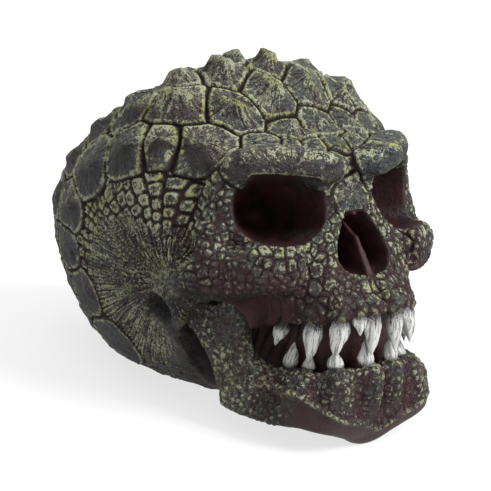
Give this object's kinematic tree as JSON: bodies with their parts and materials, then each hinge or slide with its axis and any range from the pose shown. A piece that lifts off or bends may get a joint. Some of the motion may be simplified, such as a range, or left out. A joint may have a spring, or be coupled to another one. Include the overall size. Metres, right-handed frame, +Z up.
{
  "type": "reptile skull ornament",
  "caption": "Life-size human-shaped skull dressed in reptile hide, with keeled scutes over the crown, heavy brows, deep sockets, fangs and a long lower jaw, standing on its own base.",
  "frame": {"origin": "on the surface it rests on, under the middle of the bounding box", "axes": "+Z up; -Y the way the face looks; +X towards the skull's own left side"},
  "size_m": [0.1476, 0.2127, 0.1551],
  "materials": {
    "painted_hide": "cast resin painted oxblood and dark slate green, drybrushed yellow-green",
    "dark_paint": "cast resin painted dark maroon",
    "tooth_paint": "cast resin painted silvery white over dark"
  },
  "bodies": {
    "root": {"braincase": "painted_hide", "face": "painted_hide", "lower_jaw": "painted_hide", "mouth_core": "dark_paint"}
  },
  "joints": []
}
